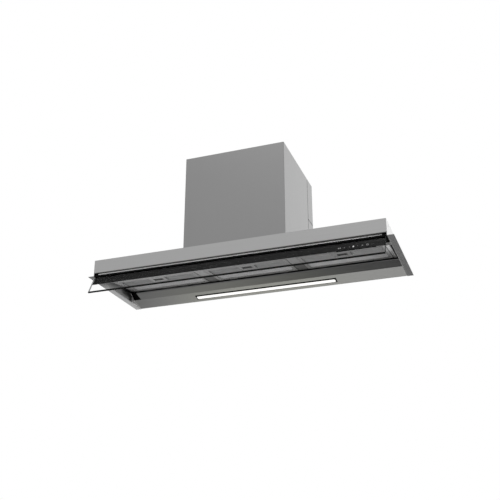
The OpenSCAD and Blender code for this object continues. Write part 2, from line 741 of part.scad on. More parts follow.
module scroll_cheek() {
    translate([scroll_w / 2, 0, 0]) difference() {
        union() {
            along_x(0, sheet_t)
                polygon(concat([[throat_y0 - sheet_t, scroll_top]], scroll_points(sheet_t),
                               [[throat_y1 + sheet_t, scroll_top]]));
            translate([0, axle_y, axle_z]) rotate([0, 90, 0])
                cylinder(h = inlet_lip, r = inlet_r + inlet_lip, $fn = 2 * round_fn);
        }
        translate([0, axle_y, axle_z]) rotate([0, 90, 0]) rotate_extrude($fn = 2 * round_fn)
            difference() {
                translate([0, -over]) square([inlet_r + inlet_lip, inlet_lip + 2 * over]);
                translate([inlet_r + inlet_lip, 0]) circle(inlet_lip, $fn = round_fn);
            }
        for (a = bush_angles)
            translate([0, axle_y, axle_z]) rotate([a, 0, 0])
                translate([-over, 0, bush_ring]) rotate([0, 90, 0])
                    cylinder(h = 2 * over + sheet_t, r = bush_hole_r, $fn = round_fn);
    }
}

module left_scroll_cheek() color(zinc) mirror([1, 0, 0]) scroll_cheek();
module right_scroll_cheek() color(zinc) scroll_cheek();

// One forward-curved blade in section: an arc from the inner to the outer radius
blade_steps = 4;
function blade_side(offset) = [for (i = [0 : blade_steps])
    let (f = i / blade_steps, r = blade_in + (impeller_r - blade_in) * f,
         a = blade_turn * f * f * (blade_in / impeller_r))
    turned([r, 0], a) + turned([0, offset], a + blade_turn * f)];

module impeller() color(black) {
    translate([0, axle_y, axle_z]) rotate([0, 90, 0]) {
        for (i = [0 : blade_count - 1]) rotate([0, 0, 360 * i / blade_count])
            translate([0, 0, -impeller_w / 2]) linear_extrude(impeller_w)
                polygon(concat(blade_side(0), reversed(blade_side(blade_t))));
        for (s = [0, 1]) mirror([0, 0, s]) translate([0, 0, impeller_w / 2 - ring_t])
            difference() {
                cylinder(h = ring_t, r = impeller_r + blade_t, $fn = 2 * round_fn);
                translate([0, 0, -over])
                    cylinder(h = ring_t + 2 * over, r = impeller_r - ring_w, $fn = 2 * round_fn);
            }
        difference() {
            union() {
                translate([0, 0, disc_x])
                    cylinder(h = disc_t, r = impeller_r + blade_t, $fn = 2 * round_fn);
                translate([0, 0, disc_x]) cylinder(h = hub_l, r = hub_r, $fn = round_fn);
            }
            translate([0, 0, disc_x - over])
                cylinder(h = hub_l + 2 * over, r = shaft_r, $fn = round_fn);
        }
    }
}

motor_x1 = disc_x - motor_gap;
motor_x0 = motor_x1 - motor_l;

module impeller_shaft() color(steel) {
    translate([motor_x0 - bell_l, axle_y, axle_z]) rotate([0, 90, 0])
        cylinder(h = disc_x + hub_l - motor_x0 + bell_l, r = shaft_r, $fn = round_fn);
}

module motor_body() color(dark_steel) {
    translate([motor_x0, axle_y, axle_z]) rotate([0, 90, 0]) difference() {
        union() {
            cylinder(h = motor_l, r = motor_r, $fn = 2 * round_fn);
            translate([0, 0, -bell_l]) cylinder(h = bell_l, r = bell_r, $fn = round_fn);
            for (i = [0 : fin_count - 1]) rotate([0, 0, 360 * i / fin_count])
                translate([motor_r + fin_h / 2 - run_fit, 0, motor_l / 2])
                    cube([fin_h + 2 * run_fit, fin_w, motor_l - 2 * bell_l], center = true);
        }
        translate([0, 0, -bell_l - over])
            cylinder(h = motor_l + bell_l + 2 * over, r = shaft_r + run_fit, $fn = round_fn);
    }
}

// A boss round the motor's bell, with three arms to the left cheek's rubber bushes
bracket_x = -scroll_w / 2 - sheet_t - bush_t;
module motor_bracket() color(zinc) {
    boss_r = bell_r + arm_w / 2;
    translate([bracket_x - arm_t, axle_y, axle_z]) rotate([0, 90, 0]) {
        linear_extrude(arm_t) difference() {
            union() {
                circle(boss_r, $fn = round_fn);
                for (a = bush_angles) rotate(a + 180) {
                    translate([0, -arm_w / 2]) square([bush_ring, arm_w]);
                    translate([bush_ring, 0]) circle(bush_r, $fn = round_fn);
                }
            }
            circle(bell_r + run_fit, $fn = round_fn);
            for (a = bush_angles) rotate(a + 180)
                translate([bush_ring, 0]) circle(bush_hole_r, $fn = round_fn);
        }
        translate([0, 0, arm_t]) linear_extrude(motor_x0 - bracket_x) difference() {
            circle(boss_r, $fn = round_fn);
            circle(bell_r + run_fit, $fn = round_fn);
        }
    }
}

module motor_bushes() color(black) {
    for (a = bush_angles)
        translate([bracket_x, axle_y, axle_z]) rotate([a, 0, 0])
            translate([0, 0, bush_ring]) rotate([0, 90, 0]) difference() {
                cylinder(h = bush_t, r = bush_r, $fn = round_fn);
                translate([0, 0, -over])
                    cylinder(h = bush_t + 2 * over, r = bush_hole_r, $fn = round_fn);
            }
}

module capacitor() color(opal) {
    translate([-housing_x + sheet_t + capacitor_r, housing_mid - capacitor_l / 2, capacitor_z])
        rotate([-90, 0, 0]) {
            cylinder(h = capacitor_l, r = capacitor_r, $fn = round_fn);
            cylinder(h = capacitor_l + capacitor_r / 2, r = capacitor_r / 2, $fn = round_fn);
        }
}

box_x1 = housing_x - sheet_t;
box_x0 = box_x1 - box_w;
module control_box() color(opal) {
    difference() {
        block([box_x0, box_mid - box_l / 2, box_z],
              [box_x1, box_mid + box_l / 2, box_z + box_h]);
        block([box_x0 - over, box_mid - box_l / 2 + box_t, box_z + box_t],
              [box_x1 - box_t, box_mid + box_l / 2 - box_t, box_z + box_h - box_t]);
    }
}

module control_box_lid() color(opal) {
    block([box_x0 - box_t, box_mid - box_l / 2, box_z],
          [box_x0, box_mid + box_l / 2, box_z + box_h]);
}

module terminal_block() color(opal) {
    pitch = block_l / block_ways;
    difference() {
        block([box_x1 - box_t - block_w, box_mid - block_l / 2, box_z + box_t],
              [box_x1 - box_t, box_mid + block_l / 2, box_z + box_t + block_h]);
        for (i = [0 : block_ways - 1])
            translate([box_x1 - box_t - block_w / 2, box_mid + (i + 0.5) * pitch - block_l / 2,
                       box_z + box_t + block_h / 2])
                cylinder(h = block_h, r = block_hole_r, $fn = round_fn);
    }
}

module mains_gland() color(black) {
    translate([-gland_x, gland_y, housing_h]) difference() {
        union() {
            translate([0, 0, -gland_hex_h - sheet_t])
                cylinder(h = gland_hex_h, r = gland_hex_r, $fn = 6);
            translate([0, 0, -gland_hex_h - sheet_t])
                cylinder(h = gland_h + gland_hex_h, r = gland_r, $fn = round_fn);
            cylinder(h = gland_hex_h, r = gland_hex_r, $fn = 6);
            translate([0, 0, gland_h - 2 * gland_hex_h])
                cylinder(h = gland_hex_h, r = gland_hex_r - sheet_t, $fn = 6);
        }
        translate([0, 0, -gland_hex_h - sheet_t - over])
            cylinder(h = gland_h + gland_hex_h + 2 * over, r = gland_bore_r, $fn = round_fn);
    }
}

// Outlet

module outlet_collar() color(black) {
    inner = collar_r - collar_t;
    translate([0, throat_mid, housing_h]) difference() {
        union() {
            linear_extrude(collar_base)
                round_rect(2 * (collar_r + flange_pad), 2 * (collar_r + flange_pad), flange_pad);
            cylinder(h = collar_h, r = collar_r, $fn = 2 * round_fn);
        }
        difference() {
            translate([0, 0, -over])
                cylinder(h = collar_h + 2 * over, r = inner, $fn = 2 * round_fn);
            // Ledge that the closed flaps rest on
            translate([0, 0, flap_z - flap_t / 2 - fit - ledge_t]) difference() {
                cylinder(h = ledge_t, r = collar_r, $fn = 2 * round_fn);
                translate([0, 0, -over])
                    cylinder(h = ledge_t + 2 * over, r = inner - ledge_w, $fn = 2 * round_fn);
            }
        }
        translate([-inner - collar_t / 2, 0, flap_z]) rotate([0, 90, 0])
            cylinder(h = 2 * inner + collar_t, r = flap_pin_r, $fn = round_fn);
        for (x = [-1, 1], y = [-1, 1])
            translate([x * collar_screw, y * collar_screw, -over])
                cylinder(h = 2 * over + collar_base, r = screw_r + run_fit, $fn = round_fn);
    }
}

module flap_pin() color(steel) {
    half = collar_r - collar_t / 2;
    translate([-half, throat_mid, housing_h + flap_z]) rotate([0, 90, 0])
        cylinder(h = 2 * half, r = flap_pin_r, $fn = round_fn);
}

// One half-round flap on the rear side of the pin, with two of the four sleeves
module flap(first) {
    reach = collar_r - collar_t - flap_gap;
    pitch = sleeve_l + sleeve_gap;
    starts = [for (i = [0, 2]) (i + first - 2) * pitch + sleeve_gap / 2];
    difference() {
        union() {
            translate([0, 0, -flap_t / 2]) linear_extrude(flap_t) intersection() {
                circle(reach, $fn = 2 * round_fn);
                translate([-reach, flap_start]) square([2 * reach, reach]);
            }
            for (x = starts) {
                translate([x, 0, 0]) rotate([0, 90, 0])
                    cylinder(h = sleeve_l, r = sleeve_r, $fn = round_fn);
                block([x, 0, -flap_t / 2], [x + sleeve_l, flap_start + flap_t, flap_t / 2]);
            }
        }
        translate([-reach, 0, 0]) rotate([0, 90, 0])
            cylinder(h = 2 * reach, r = flap_pin_r + run_fit, $fn = round_fn);
    }
}

module rear_flap() color(zinc) translate([0, throat_mid, housing_h + flap_z]) flap(0);
module front_flap() color(zinc)
    translate([0, throat_mid, housing_h + flap_z]) mirror([0, 1, 0]) flap(1);

// Visor, drawn in its own section: x is the distance in front of the glass's middle plane, and
// y the distance down from the hinge axis

// Hangs a section of the visor under the hinge, drawn along X from x0 to x1
module on_visor(x0, x1) {
    translate([0, fy(hinge_y), uz(hinge_z)]) rotate([-visor_tilt, 0, 0])
        along_x(x0, x1) rotate([0, 0, 180]) children();
}

module glass_slot() {
    translate([-glass_t / 2 - slot_fit, glass_top]) square([glass_t + 2 * slot_fit, visor_l]);
}

module visor_rail() color(aluminium) {
    on_visor(-rail_x, rail_x) difference() {
        union() {
            circle(rail_r, $fn = round_fn);
            translate([-rail_back, 0]) square([rail_back + rail_front, rail_end]);
        }
        circle(pin_r + run_fit, $fn = round_fn);
    }
}

module visor_carrier() color(black) {
    on_visor(-rail_x, rail_x) difference() {
        translate([-carrier_back, rail_end + slot_fit])
            square([carrier_back + carrier_front, carrier_end - rail_end - slot_fit]);
        glass_slot();
    }
}

module visor_glass() color([0.8, 0.85, 0.85, 0.35]) {
    on_visor(-glass_x, glass_x)
        translate([-glass_t / 2, glass_top]) square([glass_t, visor_l - trim_h - glass_top]);
}

module visor_band() color(black) {
    on_visor(-glass_x, glass_x)
        translate([-glass_t / 2 - band_t, carrier_end + fit])
            square([band_t, band_end - carrier_end - fit]);
}

module touch_module() color(black) {
    on_visor(glass_x - module_end - module_w, glass_x - module_end)
        translate([-glass_t / 2 - band_t - module_t, carrier_end + fit + module_margin])
            square([module_t, band_end - carrier_end - fit - 2 * module_margin]);
}

module visor_edge_trim() color(black) {
    on_visor(-glass_x, glass_x)
        translate([-glass_t / 2, visor_l - trim_h]) square([glass_t, trim_h]);
}

module visor_cap() {
    on_visor(rail_x, cap_x) difference() {
        union() {
            circle(cap_r, $fn = round_fn);
            translate([-carrier_back, 0]) square([carrier_back + carrier_front, carrier_end]);
        }
        glass_slot();
        circle(pin_r + run_fit, $fn = round_fn);
    }
}

module left_visor_cap() color(black) mirror([1, 0, 0]) visor_cap();
module right_visor_cap() color(black) visor_cap();

module visor_pins() color(steel) {
    for (s = [0, 1]) mirror([s, 0, 0])
        on_visor(rail_x, wall_x - fit / 2) circle(pin_r, $fn = round_fn);
}

// Filters, drawn flat with the origin at the rear lower edge's middle

module filter_outline() {
    translate([0, -filter_d / 2]) round_rect(filter_w - 2 * filter_gap, filter_d, filter_r);
}

// The part of the frame that holds the latch, at the middle of the front edge
latch_y = latch_back + latch_d / 2 - filter_d;
module latch_pad(margin) {
    pad_d = latch_back + latch_d + margin;
    translate([0, pad_d / 2 - filter_d]) square([latch_w + 2 * margin, pad_d], center = true);
}

module latch_recess() {
    translate([0, latch_y]) square([latch_w, latch_d], center = true);
}

module filter_opening(rim) {
    difference() {
        translate([0, -filter_d / 2])
            square([filter_w - 2 * filter_gap - 2 * rim, filter_d - 2 * rim], center = true);
        latch_pad(latch_margin);
    }
}

module filter_frame() color(aluminium) {
    difference() {
        union() {
            difference() {
                linear_extrude(filter_t) filter_outline();
                translate([0, 0, frame_base]) linear_extrude(filter_t) filter_opening(frame_wall);
                translate([0, 0, -over]) linear_extrude(filter_t) filter_opening(frame_rim);
            }
            for (s = [-1, 1])
                translate([s * tab_place_share * filter_w - tab_w / 2, -frame_wall, 0])
                    cube([tab_w, frame_wall + tab_out, tab_t]);
        }
        translate([0, 0, -over]) linear_extrude(over + latch_h) latch_recess();
        // Way for the tongue through the front wall
        translate([-tongue_w / 2 - fit, -filter_d - over, tongue_z - fit])
            cube([tongue_w + 2 * fit, latch_back + 2 * over, tongue_t + 2 * fit]);
    }
}

// A sheet with rows of diamond openings, drawn as one outline with holes
module filter_mesh() color(aluminium) {
    w = filter_w - 2 * filter_gap - 2 * frame_wall - 2 * mesh_fit;
    d = filter_d - 2 * frame_wall - 2 * mesh_fit;
    px = (w - 2 * frame_rim) / mesh_cols;
    py = (d - 2 * frame_rim) / mesh_rows;
    hx = px * mesh_open_share / 2;
    hy = py * mesh_open_share / 2;
    rim = [[-w / 2, -d / 2], [w / 2, -d / 2], [w / 2, d / 2], [-w / 2, d / 2]];
    centres = [for (i = [0 : mesh_cols - 1], j = [0 : mesh_rows - 1])
        [(i + mesh_edge_share - mesh_cols / 2) * px, (j + mesh_edge_share - mesh_rows / 2) * py]];
    points = concat(rim, [for (c = centres, q = [[-hx, 0], [0, -hy], [hx, 0], [0, hy]]) c + q]);
    paths = [for (k = [0 : len(centres)]) [for (m = [0 : 3]) 4 * k + m]];
    translate([0, 0, frame_base]) linear_extrude(mesh_t) difference() {
        translate([0, -filter_d / 2]) polygon(points, paths);
        latch_pad(latch_margin + mesh_fit);
    }
}

// Handle, web and tongue of a latch, at rest with the tongue out
module filter_latch() color(black) {
    front = latch_y - latch_d / 2 + fit;
    half = latch_w / 2 - fit;
    block([-half, front, frame_base], [half, front + handle_d, frame_base + handle_t]);
    block([-half, front, frame_base], [half, front + handle_t, latch_h - fit]);
    block([-half, front + handle_d - handle_t, fit],
          [half, front + handle_d, frame_base + handle_t]);
    block([-tongue_w / 2, -filter_d - tongue_out, tongue_z],
          [tongue_w / 2, front + handle_t, tongue_z + tongue_t]);
}

module left_filter_frame() filter_plane(-filter_pitch) filter_frame();
module left_filter_mesh() filter_plane(-filter_pitch) filter_mesh();
module left_filter_latch() filter_plane(-filter_pitch) filter_latch();
module centre_filter_frame() filter_plane(0) filter_frame();
module centre_filter_mesh() filter_plane(0) filter_mesh();
module centre_filter_latch() filter_plane(0) filter_latch();
module right_filter_frame() filter_plane(filter_pitch) filter_frame();
module right_filter_mesh() filter_plane(filter_pitch) filter_mesh();
module right_filter_latch() filter_plane(filter_pitch) filter_latch();

top_plate();
left_end_panel();
right_end_panel();
back_panel();
front_fascia();
front_pan();
filter_front_rail();
light_panel();
left_divider();
right_divider();
left_end_deflector();
right_end_deflector();
left_hinge_bracket();
right_hinge_bracket();
panel_rivets();
led_channel();
led_board();
light_bezel();
led_diffuser();
led_driver();
housing_front_wrap();
housing_rear_cover();
housing_service_cover();
housing_top_plate();
housing_screws();
scroll_wrap();
left_scroll_cheek();
right_scroll_cheek();
motor_body();
motor_bracket();
motor_bushes();
capacitor();
impeller();
impeller_shaft();
control_box();
control_box_lid();
terminal_block();
mains_gland();
outlet_collar();
flap_pin();
front_flap();
rear_flap();
visor_rail();
visor_carrier();
visor_glass();
visor_band();
touch_module();
visor_edge_trim();
left_visor_cap();
right_visor_cap();
visor_pins();
left_filter_frame();
left_filter_mesh();
left_filter_latch();
centre_filter_frame();
centre_filter_mesh();
centre_filter_latch();
right_filter_frame();
right_filter_mesh();
right_filter_latch();
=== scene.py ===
import math

import bpy
import numpy as np
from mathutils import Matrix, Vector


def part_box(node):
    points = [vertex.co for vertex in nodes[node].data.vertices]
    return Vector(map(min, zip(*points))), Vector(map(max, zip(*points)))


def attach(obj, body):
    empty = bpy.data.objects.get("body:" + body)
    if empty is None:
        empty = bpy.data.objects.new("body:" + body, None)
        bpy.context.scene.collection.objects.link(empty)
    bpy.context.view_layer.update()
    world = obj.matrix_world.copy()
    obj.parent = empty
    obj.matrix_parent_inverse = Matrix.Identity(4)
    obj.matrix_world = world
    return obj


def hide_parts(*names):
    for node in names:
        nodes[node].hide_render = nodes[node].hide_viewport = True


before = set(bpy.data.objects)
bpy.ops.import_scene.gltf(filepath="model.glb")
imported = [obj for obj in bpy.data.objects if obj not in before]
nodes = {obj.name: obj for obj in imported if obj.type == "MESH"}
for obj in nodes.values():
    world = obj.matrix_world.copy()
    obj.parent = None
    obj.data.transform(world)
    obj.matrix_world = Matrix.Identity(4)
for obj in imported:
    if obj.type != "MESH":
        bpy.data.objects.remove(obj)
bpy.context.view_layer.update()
MM = 0.001

# Camera
# It stands in front of the hood, to the right and below it, and looks up.
# Its place, turn and lens were solved from the corners of the canopy and the housing.
CAMERA_PLACE = (0.7510, -2.0916, -0.9260)
CAMERA_RISE, CAMERA_TURN = math.radians(23.363), math.radians(19.791)
camera_data = bpy.data.cameras.new("camera")
camera_data.sensor_width = 36
camera_data.lens = 58.98
camera_data.clip_end = 50
camera = bpy.data.objects.new("camera", camera_data)
camera.location = CAMERA_PLACE
camera.rotation_euler = (math.radians(90) + CAMERA_RISE, 0, CAMERA_TURN)
bpy.context.collection.objects.link(camera)
bpy.context.scene.camera = camera
bpy.context.scene.view_settings.view_transform = "Standard"


# Studio
# A pale floor as far below the hood as a kitchen's, a white surround, and large soft lamps.
# The surround is white for what is seen, mirrored or seen through glass, and paler for its light.
FLOOR_Z = -1.62
FLOOR_HALF = 9.0
SURROUND_LIGHT = 0.60
CARD_LIFT = 0.05
# Width of a sharp edge between two finishes
HAIR = 0.3 * MM


def grey(level):
    """A neutral colour."""
    return (level, level, level)


class Wire:
    """An output socket. Arithmetic on it adds Math nodes to its material."""

    def __init__(self, finish, socket):
        self.finish = finish
        self.socket = socket

    def math(self, operation, *terms):
        return self.finish.node("ShaderNodeMath", {"operation": operation}, dict(enumerate(terms)))

    def __add__(self, other):
        return self.math("ADD", self, other)

    def __sub__(self, other):
        return self.math("SUBTRACT", self, other)

    def __rsub__(self, other):
        return self.math("SUBTRACT", other, self)

    def __mul__(self, other):
        return self.math("MULTIPLY", self, other)

    def __abs__(self):
        return self.math("ABSOLUTE", self)

    def either(self, other):
        """The larger of two shares."""
        return self.math("MAXIMUM", self, other)

    __radd__ = __add__
    __rmul__ = __mul__


class Finish:
    """A material on a Principled shader, with nodes added as they are asked for."""

    def __init__(self, name, colour=(0.8, 0.8, 0.8), **settings):
        self.material = bpy.data.materials.new(name)
        self.material.use_nodes = True
        self.tree = self.material.node_tree
        self.shader = self.tree.nodes["Principled BSDF"]
        self.put("Base Color", (*colour, 1))
        for socket, value in settings.items():
            self.put(socket.replace("_", " "), value)

    def put(self, socket, value):
        """Sets a socket of the shader, or links a wire to it."""
        target = self.shader.inputs[socket]
        if isinstance(value, Wire):
            self.tree.links.new(value.socket, target)
        else:
            target.default_value = value

    def node(self, kind, settings, sockets, output=0):
        """Adds a node: its settings first, then the values or links of its sockets."""
        made = self.tree.nodes.new(kind)
        for key, value in settings.items():
            setattr(made, key, value)
        for key, value in sockets.items():
            if isinstance(value, Wire):
                self.tree.links.new(value.socket, made.inputs[key])
            else:
                made.inputs[key].default_value = value
        return Wire(self, made.outputs[output])

    def place(self, scale):
        """The piece's own coordinates in metres, scaled."""
        own = self.node("ShaderNodeTexCoord", {}, {}, "Object")
        return self.node("ShaderNodeMapping", {}, {"Vector": own, "Scale": scale})

    def along(self, axis):
        """One of the piece's own coordinates, in metres."""
        own = self.node("ShaderNodeTexCoord", {}, {}, "Object")
        return self.node("ShaderNodeSeparateXYZ", {}, {"Vector": own}, axis)

    def noise(self, scale, detail=3):
        """Soft noise from 0 to 1, stretched by a scale in cycles per metre."""
        return self.node("ShaderNodeTexNoise", {}, {"Vector": self.place(scale), "Scale": 1.0,
                                                    "Detail": detail, "Roughness": 0.6})

    def step(self, value, low, high):
        """0 under low, 1 over high, and a smooth rise between."""
        return self.node("ShaderNodeMapRange", {"interpolation_type": "SMOOTHSTEP"},
                         {"Value": value, "From Min": low, "From Max": high})

    def edge(self, value, place):
        """0 under a place and 1 over it, with a hair's breadth between."""
        return self.step(value, place, place + HAIR)

    def graded(self, stops):
        """A grey that changes along x, through stops of a place in metres and a grey."""
        first, last = stops[0][0], stops[-1][0]
        ramp = self.node("ShaderNodeValToRGB", {}, {0: (self.along(0) - first) * (1 / (last - first))})
        marks = ramp.socket.node.color_ramp.elements
        while len(marks) < len(stops):
            marks.new(1.0)
        for mark, (x, level) in zip(marks, stops):
            mark.position = (x - first) / (last - first)
            mark.color = (*grey(level), 1)
        return ramp

    def mix(self, share, first, second, blend="MIX"):
        """A colour between two colours or wires, or their product where the blend is MULTIPLY."""
        ends = {6: first if isinstance(first, Wire) else (*first, 1),
                7: second if isinstance(second, Wire) else (*second, 1)}
        return self.node("ShaderNodeMix", {"data_type": "RGBA", "blend_type": blend}, {0: share, **ends}, 2)

    def rough(self, height, strength, depth):
        """Raises the surface by a height from 0 to 1 times a depth in metres."""
        bump = self.node("ShaderNodeBump", {}, {"Height": height, "Strength": strength, "Distance": depth})
        self.put("Normal", bump)

    def dress(self, *names):
        """Gives this material to CAD nodes."""
        for name in names:
            for place in nodes[name].material_slots:
                place.material = self.material
        return self


def level_sheet(name, left, right, front, back, height):
    """One level rectangle that faces up."""
    mesh = bpy.data.meshes.new(name)
    mesh.from_pydata([(left, front, height), (right, front, height), (right, back, height),
                      (left, back, height)], [], [(0, 1, 2, 3)])
    sheet = bpy.data.objects.new(name, mesh)
    bpy.context.collection.objects.link(sheet)
    return sheet


def soft_lamp(name, place, aim, size, watts, tint=(1, 1, 1)):
    """A rectangular lamp at a place, turned to a point, that the camera doesn't see."""
    data = bpy.data.lights.new(name, "AREA")
    data.shape = "RECTANGLE"
    data.size, data.size_y = size
    data.energy = watts
    data.color = tint
    lamp = bpy.data.objects.new(name, data)
    away = np.subtract(place, aim)
    turn = math.atan2(away[0], -away[1])
    lean = math.acos(away[2] / np.linalg.norm(away))
    lamp.location = place
    lamp.rotation_euler = (lean, 0, turn)
    lamp.visible_camera = False
    bpy.context.collection.objects.link(lamp)


def dark_card(name, left, right, front, back, stops):
    """A level board over the floor, seen in mirroring metal only. Its grey changes from left to
    right through stops of a place in metres and a grey."""
    card = level_sheet(name, left, right, front, back, FLOOR_Z + CARD_LIFT)
    for sight in ("camera", "diffuse", "transmission", "shadow", "volume_scatter"):
        setattr(card, "visible_" + sight, False)
    paint = Finish(name + "_paint", Roughness=0.9, Specular_IOR_Level=0.0)
    paint.put("Base Color", paint.graded(stops))
    card.data.materials.append(paint.material)


floor = level_sheet("floor", -FLOOR_HALF, FLOOR_HALF, -FLOOR_HALF, FLOOR_HALF, FLOOR_Z)
floor_paint = Finish("floor_paint", grey(0.80), Roughness=0.9, Specular_IOR_Level=0.2)
floor.data.materials.append(floor_paint.material)

world = bpy.data.worlds.new("studio")
world.use_nodes = True
bpy.context.scene.world = world
sky = world.node_tree
seen = sky.nodes["Background"]
seen.inputs["Color"].default_value = (1, 1, 1, 1)
light = sky.nodes.new("ShaderNodeBackground")
light.inputs["Color"].default_value = (1, 1, 1, 1)
light.inputs["Strength"].default_value = SURROUND_LIGHT
path = sky.nodes.new("ShaderNodeLightPath")
shown = path.outputs["Is Camera Ray"]
for ray in ("Is Glossy Ray", "Is Transmission Ray"):
    larger = sky.nodes.new("ShaderNodeMath")
    larger.operation = "MAXIMUM"
    sky.links.new(shown, larger.inputs[0])
    sky.links.new(path.outputs[ray], larger.inputs[1])
    shown = larger.outputs[0]
choice = sky.nodes.new("ShaderNodeMixShader")
sky.links.new(shown, choice.inputs[0])
sky.links.new(light.outputs[0], choice.inputs[1])
sky.links.new(seen.outputs[0], choice.inputs[2])
sky.links.new(choice.outputs[0], sky.nodes["World Output"].inputs[0])

soft_lamp("key_lamp", (-0.2, -1.9, 3.2), (0, 0, 0.1), (2.0, 2.0), 30)
soft_lamp("rear_right_lamp", (1.1, 2.5, 1.4), (0.2, 0, 0.1), (2.2, 2.0), 9.5)
soft_lamp("rear_left_glow", (-2.45, 3.75, -1.6), (-2.45, 3.75, 0), (1.5, 1.5), 7)
soft_lamp("under_glow", (-0.3, 1.6, -1.6), (-0.3, 1.6, 0), (1.4, 0.6), 1, (1.0, 0.995, 0.93))
dark_card("strip_card", -1.6, 1.3, -0.6, 0.75, [
    (-1.6, 0.20), (-1.24, 0.22), (-1.0, 0.55), (-0.75, 0.62), (-0.55, 0.40), (-0.25, 0.26), (0.0, 0.13),
    (0.3, 0.11)])
dark_card("flange_card", -0.9, 1.1, 2.5, 4.6, [(-0.9, 0.01), (1.1, 0.01)])
dark_card("panel_card", -2.6, -1.25, 1.0, 2.0, [(-2.6, 0.06), (-1.5, 0.09), (-1.25, 0.45)])


# Canopy, in satin stainless steel
# The fascia, the end panels with their flanges, the light panel and the filters' rail are bent
# from 1 mm stainless sheet, brushed along their length and riveted inside.
ALONG_X = (6, 900, 900)
ALONG_Y = (900, 6, 900)
UPRIGHT = (900, 900, 6)


def shade(colour, factor):
    """A colour times a factor."""
    return tuple(min(1.0, c * factor) for c in colour)


def brushed(name, colour, roughness, grain, spread=0.10):
    """Brushed metal: fine lines stretched along the grain, over slow, weak clouding."""
    steel = Finish(name, colour, Metallic=1.0)
    lines = steel.noise(grain, detail=4)
    cloud = steel.noise((3, 9, 9), detail=2)
    tone = steel.mix(lines, shade(colour, 1 - spread), shade(colour, 1 + spread))
    steel.tone = steel.mix(cloud * 0.5, tone, shade(colour, 0.94))
    steel.put("Base Color", steel.tone)
    steel.put("Roughness", roughness - 0.05 + lines * 0.10)
    steel.rough(lines, 0.12, 0.2 * MM)
    return steel


brushed("fascia_steel", grey(0.35), 0.34, ALONG_X).dress("front_fascia")
brushed("rail_steel", grey(0.36), 0.34, ALONG_X).dress("filter_front_rail")

# Inside, the end walls keep the dull mill finish, but for their rear part, where the darker steel stays
# as painted shade. The left flange's underside is painted darker towards its front, painted shade
WALL_INNER = 0.4303
SHADED_BACK, SHADED_HEIGHT, SHADED_REAR = (0.005, 0.030), (-0.043, -0.036), (0.055, 0.072)
FLANGE_SHADE, FLANGE_UNDER = (-0.095, -0.025), -0.0492
ends = brushed("end_steel", grey(0.40), 0.32, ALONG_Y).dress("left_end_panel", "right_end_panel")
across, back, height = ends.along(0), ends.along(1), ends.along(2)
# painted shade: the rear part of the inner walls keeps the darker steel
shaded_rear = (ends.step(back, *SHADED_BACK) * ends.step(height, *SHADED_HEIGHT)).either(ends.step(back, *SHADED_REAR))
mill = (1 - ends.edge(abs(across), WALL_INNER)) * (1 - shaded_rear)
# painted shade: the left flange's underside darkens towards its front
shaded_front = (1 - ends.step(back, *FLANGE_SHADE)) * (1 - ends.edge(across, -WALL_INNER)) * (
    1 - ends.edge(height, FLANGE_UNDER))
ends.put("Metallic", 1 - 0.5 * mill)
ends.put("Base Color", ends.mix(mill, ends.mix(shaded_front, ends.tone, grey(0.13)), grey(0.56)))

# The cheeks at the light panel's ends are bare cut sheet, paler than the brushed face, and the hem
# at the strip's front edge is a dull cut edge. Round the light the steel has a faint warm painted glow,
# painted light of the lamp
CHEEK_INNER = 0.4285
HEM_BACK, HEM_FADE = 0.0788, 0.0012
GLOW_TINT, GLOW_MIDDLE, GLOW_REACH = (1.0, 1.005, 0.945), -0.05, (0.16, 0.36)
panel = brushed("panel_steel", (0.40, 0.40, 0.395), 0.30, ALONG_X).dress("light_panel")
across, back = panel.along(0), panel.along(1)
cheek = panel.edge(abs(across), CHEEK_INNER)
# painted light: a faint warm glow round the light
painted_glow = 1 - panel.step(abs(across - GLOW_MIDDLE), *GLOW_REACH)
hem = 1 - panel.step(back, HEM_BACK - HEM_FADE, HEM_BACK)
glowing_tone = panel.mix(1.0, panel.tone, panel.mix(painted_glow, grey(1.0), GLOW_TINT), "MULTIPLY")
bare = panel.mix(cheek, panel.mix(hem, glowing_tone, grey(0.22)), grey(0.9))
# The left end of the strip is painted black, painted shade beside the dark gap there, and the front
# edge of the light's slot is painted black, painted shade of the gap round the light
PANEL_DEEP = 0.053
STRIP_SHADE_SLOPE, STRIP_SHADE_END, STRIP_SHADE_FADE = 0.325, -0.4044, 0.0004
SLOT_SHADE, SLOT_FADE = 0.0014, 0.0002
fold_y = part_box("light_panel")[1][1] - PANEL_DEEP
# painted shade: the strip's left end beside the gap
strip_shade_edge = (back - fold_y) * STRIP_SHADE_SLOPE + STRIP_SHADE_END
strip_shade = (1 - panel.step(across - strip_shade_edge, -STRIP_SHADE_FADE, STRIP_SHADE_FADE)) * (
    1 - panel.edge(back, fold_y - HAIR)) * (1 - cheek)
slot_low, slot_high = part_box("light_bezel")
slot_wide = slot_high[0]
slot_deep = (slot_high[1] - slot_low[1] + SLOT_SHADE) / 2
slot_y = (slot_low[1] + slot_high[1] - SLOT_SHADE) / 2
# painted shade: a black edge along the front of the light's slot
slot = (1 - panel.step(abs(across), slot_wide - SLOT_FADE, slot_wide)) * (
    1 - panel.step(abs(back - slot_y), slot_deep - SLOT_FADE, slot_deep))
panel.put("Metallic", 1 - 0.6 * cheek)
panel.put("Base Color", panel.mix(strip_shade.either(slot), bare, grey(0.004)))

# The right deflector has painted light: bright in front, fading towards its rear
DEFLECTOR_LIGHT_FADE = (-0.035, 0.015)
deflector = brushed("deflector_steel", grey(0.40), 0.28, ALONG_Y).dress(
    "left_end_deflector", "right_end_deflector")
# painted light on the right deflector's front
painted_light_end = (1 - deflector.step(deflector.along(1), *DEFLECTOR_LIGHT_FADE)) * deflector.step(
    deflector.along(0), 0, MM)
deflector.put("Base Color", deflector.mix(painted_light_end, deflector.tone, grey(0.85)))

